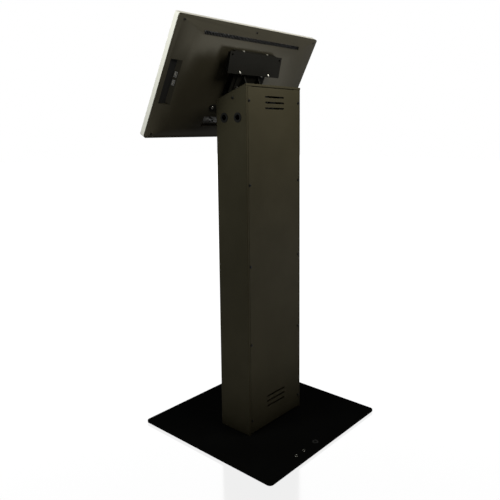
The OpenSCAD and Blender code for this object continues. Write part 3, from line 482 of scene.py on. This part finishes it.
# %% Set every screw
set_screws("cover_screws", screw("m4_button", 4, 7.6, 2.2, 12, 2.5), lambda at: Vector((0, 1, 0)))
set_screws("cap_screws", screw("m4_button", 4, 8, 2.2, 13, 2.5),
           lambda at: Vector((math.copysign(1, at.x), 0, 0)))
set_screws("vesa_screws", screw("m4_pan", 4, 8, 2.2, 14, 0), lambda at: OUT_OF_BACK)
set_screws("corner_screws", screw("m4_pan", 4, 8, 2.2, 10, 0), lambda at: OUT_OF_BACK)
set_screws("shell_screws", screw("m3_pan", 3, 6, 1.8, 12, 0), lambda at: OUT_OF_BACK)
set_screws("fan_screws", screw("m3_pan", 3, 5.6, 1.8, 18, 0), lambda at: Vector((0, -1, 0)))

# %% [markdown]
# ## Rims of the anchor holes
# The two anchor holes at the foot's rear edge have bright worn rims. A ring half sunk into the
# plate shows as a thin round lip, and its curve always has a spot that mirrors a lamp.

# %% Bright rims
ANCHOR_X, ANCHOR_PITCH, ANCHOR_EDGE, ANCHOR_D = 92, 34, 30, 7
LIP_OUT, LIP_R = 0.3, 0.8
plate_low, plate_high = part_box("base_plate")
rims = []
for side in (-1, 1):
    across = ANCHOR_X + side * ANCHOR_PITCH / 2
    back, top = plate_high.y / MM - ANCHOR_EDGE, plate_high.z / MM
    bpy.ops.mesh.primitive_torus_add(location=Vector((across, back, top)) * MM,
                                     major_radius=(ANCHOR_D / 2 + LIP_OUT) * MM,
                                     minor_radius=LIP_R * MM,
                                     major_segments=40, minor_segments=12)
    rims.append(bpy.context.object)
anchor_rims = merge(rims, "anchor_rims")
bpy.ops.object.shade_smooth()
paint(anchor_rims, finishes["zinc"])
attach(anchor_rims, "root")
print("anchor rims:", len(rims))

# %% [markdown]
# ## The monitor's rear shell
# The shell is one moulding. It starts as a thin slab the size of the rim. Its rear face is
# extruded and drawn in, which gives the crown, and a wide bevel melts the ridges away. Then it
# is hollowed by a smaller crown from which the recesses' cups were cut away first, so each
# recess keeps a wall of its own.

# %% Crown of the rear shell
SHELL_W, SHELL_H, RIM_DEPTH, CROWN_DEPTH = 568, 345, 4, 16
FLAT_W, FLAT_H, WALL = 380, 250, 2.5
PLATEAU_ROUND, PLATEAU_STEPS = 24, 8
CORNER_ROUND, CORNER_STEPS = 6, 6
EPS = 0.1


def crown(name, inset, low):
    """The shell's outer form from a depth up, smaller all round by an inset."""
    form = block(name, (-SHELL_W / 2 + inset, low, -SHELL_H / 2 + inset),
                 (SHELL_W / 2 - inset, RIM_DEPTH - inset, SHELL_H / 2 - inset))
    edit(form)
    choose("faces", lambda face: face.normal.y > 0.9)
    bpy.ops.mesh.extrude_region_move(
        TRANSFORM_OT_translate={"value": (0, (CROWN_DEPTH - RIM_DEPTH) * MM, 0)})
    bpy.ops.transform.resize(value=(FLAT_W / (SHELL_W - 2 * inset), 1,
                                    FLAT_H / (SHELL_H - 2 * inset)))
    top = (CROWN_DEPTH - inset - EPS) * MM
    choose("edges", lambda edge: all(v.co.y > top for v in edge.verts))
    bpy.ops.mesh.bevel(offset=PLATEAU_ROUND * MM, segments=PLATEAU_STEPS, affect="EDGES")
    rim = (RIM_DEPTH - inset + EPS) * MM
    choose("edges", lambda edge: all(v.co.y < rim for v in edge.verts)
           and abs(edge.verts[0].co.y - edge.verts[1].co.y) > MM)
    bpy.ops.mesh.bevel(offset=(CORNER_ROUND - inset) * MM, segments=CORNER_STEPS,
                       affect="EDGES")
    bare()
    return form


shell = crown("rear_shell_made", 0, -3)
cavity = crown("cavity", WALL, -5)
below = block("below_rim", (-400, -20, -400), (400, 0, 400))
print("crown:", len(shell.data.polygons), "faces")

# %% Recesses, slot and screw wells
SIDE_BAY_IN, SIDE_BAY_W, SIDE_BAY_LOW, SIDE_BAY_HIGH = 246, 26, -70, 56
LOW_BAY_W, LOW_BAY_LOW, LOW_BAY_HIGH = 210, -131, -99
SLOT_W, SLOT_LOW, SLOT_HIGH, SLOT_FLOOR = 394, 133.5, 143.5, 8
BAY_FLOOR, CUP_WALL, BEYOND = 0.5, 2, 40
SHELL_SCREWS_X, SHELL_SCREW_UP = (-266, 0, 266), 160
WELL_R, WELL_DEPTH = 3.5, 2.4


def side_space(name, extra, floor):
    """The side recess as a solid, with its inner wall sloping outwards at 45 degrees."""
    space = block(name, (SIDE_BAY_IN - extra, floor, SIDE_BAY_LOW - extra),
                  (SIDE_BAY_IN + SIDE_BAY_W + extra, BAY_FLOOR + BEYOND, SIDE_BAY_HIGH + extra))
    edit(space)
    choose("verts", lambda v: v.co.x < (SIDE_BAY_IN + 1) * MM and v.co.y > BEYOND / 2 * MM)
    bpy.ops.transform.translate(value=(-(BEYOND + BAY_FLOOR - floor) * MM, 0, 0))
    bare()
    return space


def low_space(name, extra, floor):
    """The lower recess as a solid."""
    return block(name, (-LOW_BAY_W / 2 - extra, floor, LOW_BAY_LOW - extra),
                 (LOW_BAY_W / 2 + extra, BEYOND, LOW_BAY_HIGH + extra))


for space in (side_space, low_space):
    cut(cavity, space("pocket", CUP_WALL, BAY_FLOOR - CUP_WALL))
    cut(below, space("pocket", CUP_WALL, BAY_FLOOR - CUP_WALL))
cut(shell, cavity)
cut(shell, below)
for space in (side_space, low_space):
    cut(shell, space("space", 0, BAY_FLOOR))
cut(shell, block("slot", (-SLOT_W / 2, SLOT_FLOOR, SLOT_LOW), (SLOT_W / 2, BEYOND, SLOT_HIGH)))
for across in SHELL_SCREWS_X:
    for up in (-SHELL_SCREW_UP, SHELL_SCREW_UP):
        climb = min((SHELL_W / 2 - abs(across)) / ((SHELL_W - FLAT_W) / 2),
                    (SHELL_H / 2 - SHELL_SCREW_UP) / ((SHELL_H - FLAT_H) / 2), 1)
        surface = RIM_DEPTH + (CROWN_DEPTH - RIM_DEPTH) * climb
        cut(shell, rod("well", (across, surface - WELL_DEPTH + BEYOND / 2, up), WELL_R, BEYOND,
                       turn=(math.radians(90), 0, 0)))
smooth(shell, 25)
seat(shell, HEAD)
# The recess floors take the near-black rubber finish as a second material: painted shade, darker
# than the moulding, where the recesses lie in shadow.
paint(shell, finishes["shell_plastic"], finishes["rubber_black"])
floor_point = HEAD @ Vector((0, BAY_FLOOR * MM, 0))
for face in shell.data.polygons:
    gets_painted_shade = abs((face.center - floor_point).dot(OUT_OF_BACK)) < EPS / 2 * MM
    face.material_index = int(gets_painted_shade and face.normal.dot(OUT_OF_BACK) > 0.9)
hand_in(shell, "rear_shell")
print("rear shell:", len(shell.data.polygons), "faces")

# %% Ribs inside the slot
RIB_PITCH, RIB_T, RIB_LOW, RIB_HIGH = 5.5, 1.4, 8.6, 11.4
ribs = []
across = -SLOT_W / 2 + RIB_PITCH
while across < SLOT_W / 2:
    ribs.append(block("rib", (across, RIB_LOW, SLOT_LOW), (across + RIB_T, RIB_HIGH, SLOT_HIGH)))
    across += RIB_PITCH
grille = seat(merge(ribs, "slot_ribs"), HEAD)
paint(grille, finishes["black_plastic"])
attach(grille, "head")
print("ribs:", len(ribs))

# %% Tongues in the ports
PORT_UP, PORT_PLACES = 6, (22, -1)
TONGUE_LOW, TONGUE_HIGH, TONGUE_HALF, TONGUE_OUT = -1.1, 0.4, 5.6, (0.1, 1.1)
SIDE_BAY_MIDDLE = (SIDE_BAY_LOW + SIDE_BAY_HIGH) / 2
sloping_wall = (HEAD
                @ Matrix.Translation(Vector((SIDE_BAY_IN, BAY_FLOOR, SIDE_BAY_MIDDLE)) * MM)
                @ Matrix.Rotation(math.radians(45), 4, "Z"))
tongues = []
for place in PORT_PLACES:
    tongue = block("tongue", (TONGUE_OUT[0], PORT_UP + TONGUE_LOW, place - TONGUE_HALF),
                   (TONGUE_OUT[1], PORT_UP + TONGUE_HIGH, place + TONGUE_HALF))
    tongues.append(seat(tongue, sloping_wall))
side_tongues = merge(tongues, "side_port_tongues")
paint(side_tongues, finishes["white_nylon"])
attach(side_tongues, "head")
print("side port tongues:", len(PORT_PLACES))

# %% [markdown]
# ## Touch glass
# The glass is black all over, but two blacks meet in it: a printed border and the dark display
# behind. An inset of the front face gives each its own face, and so its own finish.

# %% Glass with a printed border
GLASS_W, GLASS_H, GLASS_T = 561.8, 338.8, 3
BORDER_SIDE, BORDER_TOP = 15.2, 19.95
GLASS_CORNER, GLASS_EDGE = 3.2, 0.5
glass = block("touch_glass_made", (-GLASS_W / 2, -FRAME_DEPTH, -GLASS_H / 2),
              (GLASS_W / 2, -FRAME_DEPTH + GLASS_T, GLASS_H / 2))
edit(glass)
choose("edges", lambda edge: abs(edge.verts[0].co.y - edge.verts[1].co.y) > MM)
bpy.ops.mesh.bevel(offset=GLASS_CORNER * MM, segments=5, affect="EDGES")
choose("edges", lambda edge: all(v.co.y < -(FRAME_DEPTH - EPS) * MM for v in edge.verts))
bpy.ops.mesh.bevel(offset=GLASS_EDGE * MM, segments=2, affect="EDGES")
bare()
half_w, half_h = GLASS_W / 2 - BORDER_SIDE, GLASS_H / 2 - BORDER_TOP
display = block("display_area", (-half_w, -FRAME_DEPTH - 1, -half_h),
                (half_w, -FRAME_DEPTH + WELD, half_h))
dark_display = finish("dark_display", (0.010, 0.011, 0.014), (0.013, 0.014, 0.018),
                      (0.03, 0.07), patch=5, grain=60, lift=0.0005, coat=1.0)
paint(glass, finishes["touch_glass"], dark_display)
paint(display, dark_display)
cut(glass, display)
for face in glass.data.polygons:
    inside = abs(face.center.x) < half_w * MM and abs(face.center.z) < half_h * MM
    face.material_index = int(inside and face.normal.y < -0.9)
smooth(glass)
hand_in(seat(glass, HEAD), "touch_glass")
print("glass:", len(glass.data.polygons), "faces")

# %% [markdown]
# ## Stage
# Black objects are hard to light: a bright room turns them grey. Here the room is dim. A soft
# lamp behind the kiosk lights its back from above, a second one lights its side, and two small
# ones by the foot keep the vents there readable. The camera sees a white room, which only the
# camera's own rays meet.

# %% Lamps
def lamp(name, place, target, size, watts, colour=(1.0, 1.0, 1.0)):
    """A soft rectangular lamp at a place, turned to face a target."""
    bare()
    bpy.ops.object.light_add(type="AREA", location=place)
    light = bpy.context.object
    light.name = name
    light.data.shape = "RECTANGLE"
    light.data.size, light.data.size_y = size
    light.data.energy = watts
    light.data.color = colour
    light.visible_camera = False
    light.rotation_mode = "QUATERNION"
    light.rotation_quaternion = (Vector(target) - Vector(place)).to_track_quat("-Z", "Y")
    print(name, "at", place, "with", watts, "W")
    return light


lamp("key_lamp", (-0.15, 0.62, 1.42), (0, 0, 1.25), (0.5, 0.4), 6.8, (1.0, 0.97, 0.88))
lamp("side_lamp", (0.85, -0.2, 1.4), (0.25, -0.1, 1.15), (0.3, 0.5), 5.0, (0.98, 1.0, 0.94))
lamp("foot_lamp", (-0.1, 0.46, 0.015), (-0.1, 0.46, 1), (0.5, 0.14), 0.55, (1.0, 0.95, 0.8))
lamp("side_foot_lamp", (0.46, 0.0, 0.015), (0.46, 0.0, 1), (0.14, 0.4), 0.3, (1.0, 0.96, 0.85))
bpy.context.scene.view_settings.view_transform = "Standard"

# %% Room light
ROOM_LIGHT = 0.015
world = bpy.data.worlds.new("studio_room")
bpy.context.scene.world = world
nodes, links = blank_nodes(world)
output = nodes.new("ShaderNodeOutputWorld")
seen = nodes.new("ShaderNodeBackground")
seen.inputs["Color"].default_value = (1, 1, 1, 1)
lit = nodes.new("ShaderNodeBackground")
lit.inputs["Color"].default_value = (1, 1, 1, 1)
lit.inputs["Strength"].default_value = ROOM_LIGHT
mix = nodes.new("ShaderNodeMixShader")
path = nodes.new("ShaderNodeLightPath")
links.new(path.outputs["Is Camera Ray"], mix.inputs["Fac"])
links.new(lit.outputs["Background"], mix.inputs[1])
links.new(seen.outputs["Background"], mix.inputs[2])
links.new(mix.outputs["Shader"], output.inputs["Surface"])
print("room light:", ROOM_LIGHT)

# %% [markdown]
# ## Floor
# The floor glows a little under white by itself and mirrors a white dome that only it can see.
# Where the kiosk stands in the way of that mirror image, the floor stays just below white, so
# the kiosk's own reflection shows as a faint pale shape. The kiosk itself meets another floor: a
# dark one with a soft pool of light behind it, which puts the sheen on the monitor's back.

# %% Glowing floor
FLOOR_SIZE, DOME_RADIUS = 28, 22
FLOOR_GLOW, FLOOR_ROUGHNESS, FLOOR_IOR = 0.86, 0.1, 2.1
POOL_PLACE, POOL_EDGES, POOL_GLOW = (-1.45, 1.35, 0), (0.2, 1.0), (1.6, 0.04)
bare()
bpy.ops.mesh.primitive_plane_add(size=FLOOR_SIZE, location=(0, 0, 0))
floor = bpy.context.object
floor.name = "studio_floor"
pale = bpy.data.materials.new("pale_floor")
nodes, links = blank_nodes(pale)
output = nodes.new("ShaderNodeOutputMaterial")
glow = nodes.new("ShaderNodeEmission")
mirror = nodes.new("ShaderNodeBsdfGlossy")
mirror.inputs["Roughness"].default_value = FLOOR_ROUGHNESS
dark = nodes.new("ShaderNodeBsdfTransparent")
dark.inputs["Color"].default_value = (0, 0, 0, 1)
fresnel = nodes.new("ShaderNodeFresnel")
fresnel.inputs["IOR"].default_value = FLOOR_IOR
share = nodes.new("ShaderNodeMixShader")
both = nodes.new("ShaderNodeAddShader")
links.new(fresnel.outputs["Fac"], share.inputs["Fac"])
links.new(dark.outputs["BSDF"], share.inputs[1])
links.new(mirror.outputs["BSDF"], share.inputs[2])
where = nodes.new("ShaderNodeTexCoord")
distance = nodes.new("ShaderNodeVectorMath")
distance.operation = "DISTANCE"
distance.inputs[1].default_value = POOL_PLACE
pool = nodes.new("ShaderNodeMapRange")
pool.interpolation_type = "SMOOTHSTEP"
pool.inputs["From Min"].default_value, pool.inputs["From Max"].default_value = POOL_EDGES
pool.inputs["To Min"].default_value, pool.inputs["To Max"].default_value = POOL_GLOW
path = nodes.new("ShaderNodeLightPath")
strength = nodes.new("ShaderNodeMix")
strength.inputs["B"].default_value = FLOOR_GLOW
links.new(where.outputs["Object"], distance.inputs[0])
links.new(distance.outputs["Value"], pool.inputs["Value"])
links.new(path.outputs["Is Camera Ray"], strength.inputs["Factor"])
links.new(pool.outputs["Result"], strength.inputs["A"])
links.new(strength.outputs["Result"], glow.inputs["Strength"])
links.new(glow.outputs["Emission"], both.inputs[0])
links.new(share.outputs["Shader"], both.inputs[1])
links.new(both.outputs["Shader"], output.inputs["Surface"])
paint(floor, pale)
print("floor:", FLOOR_SIZE, "m wide, glow", FLOOR_GLOW)

# %% White dome that only the floor sees
bare()
bpy.ops.mesh.primitive_uv_sphere_add(segments=48, ring_count=24, radius=DOME_RADIUS)
dome = bpy.context.object
dome.name = "white_dome"
bright = bpy.data.materials.new("dome_glow")
nodes, links = blank_nodes(bright)
output = nodes.new("ShaderNodeOutputMaterial")
glow = nodes.new("ShaderNodeEmission")
clear = nodes.new("ShaderNodeBsdfTransparent")
both = nodes.new("ShaderNodeAddShader")
links.new(glow.outputs["Emission"], both.inputs[0])
links.new(clear.outputs["BSDF"], both.inputs[1])
links.new(both.outputs["Shader"], output.inputs["Surface"])
paint(dome, bright)
dome.visible_camera = False
dome.visible_diffuse = False
dome.visible_shadow = False
only_floor = bpy.data.collections.new("dome_lights_only_this")
only_floor.objects.link(floor)
dome.light_linking.receiver_collection = only_floor
